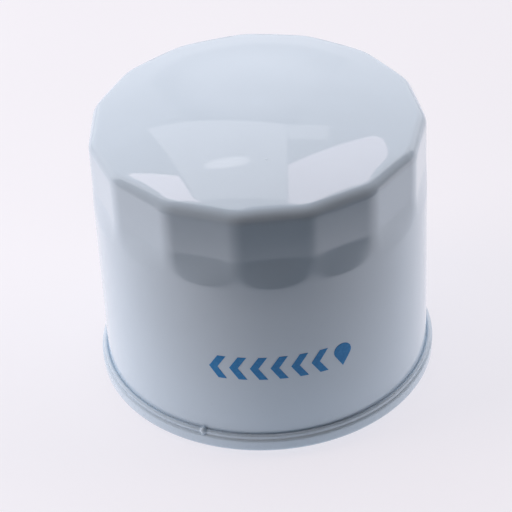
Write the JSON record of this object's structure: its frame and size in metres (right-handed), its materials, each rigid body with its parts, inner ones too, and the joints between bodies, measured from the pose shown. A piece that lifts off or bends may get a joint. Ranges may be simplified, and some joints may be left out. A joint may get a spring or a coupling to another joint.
{
  "type": "spin-on oil filter",
  "caption": "Spin-on engine oil filter: fluted steel can seamed to a threaded plate with a gasket, holding a pleated element, a bypass valve and an anti-drainback valve.",
  "frame": {"origin": "on the filter's axis, in the plane of the gasket's lower face, on which it stands", "axes": "+Z along the axis from the gasket to the dome; -Y through the middle of a wrench flat and near the printed mark"},
  "size_m": [0.0786, 0.0786, 0.0698],
  "materials": {
    "can_paint": "gloss",
    "cover_paint": "gloss on the seam, bare towards the middle",
    "plate_steel": "zinc plated, satin",
    "gasket_rubber": "matt nitrile",
    "valve_rubber": "matt silicone",
    "seal_rubber": "matt",
    "cap_steel": "tin plated",
    "tube_steel": "tin plated",
    "cage_steel": "tin plated",
    "poppet_steel": "turned",
    "spring_steel": "oil tempered wire",
    "clip_steel": "tin plated",
    "filter_paper": "resin impregnated",
    "potting": "cured plastisol",
    "compound": "matt",
    "ink": "satin"
  },
  "bodies": {
    "housing": {"can": "can_paint", "seaming_cover": "cover_paint", "seam_compound": "compound", "gasket": "gasket_rubber", "thread_plate": "plate_steel", "support_spring": "spring_steel", "printed_mark": "ink"},
    "element": {"lower_end_cap": "cap_steel", "upper_end_cap": "cap_steel", "lower_potting": "potting", "upper_potting": "potting", "pleated_media": "filter_paper", "pleat_clip": "clip_steel", "centre_tube": "tube_steel", "bypass_valve_cage": "cage_steel", "bypass_spring": "spring_steel"},
    "bypass_valve": {"bypass_poppet": "poppet_steel", "bypass_seal": "seal_rubber"},
    "drainback_lip": {"anti_drainback_valve": "valve_rubber"}
  },
  "joints": [
    {"name": "element_float", "type": "slide", "parent": "housing", "child": "element", "axis": [0, 0, 1], "range_m": [0, 0.0012], "stiffness_N_per_m": 8000, "springref_m": -0.0075, "deforming": ["support_spring"]},
    {"name": "bypass_open", "type": "slide", "parent": "element", "child": "bypass_valve", "axis": [0, 0, -1], "range_m": [0, 0.003], "stiffness_N_per_m": 1000, "springref_m": -0.008, "deforming": ["bypass_spring"]},
    {"name": "drainback_lip_lift", "type": "slide", "parent": "housing", "child": "drainback_lip", "axis": [0, 0, 1], "range_m": [0, 0.001], "stiffness_N_per_m": 600, "springref_m": -0.002, "deforming": ["anti_drainback_valve"]}
  ]
}
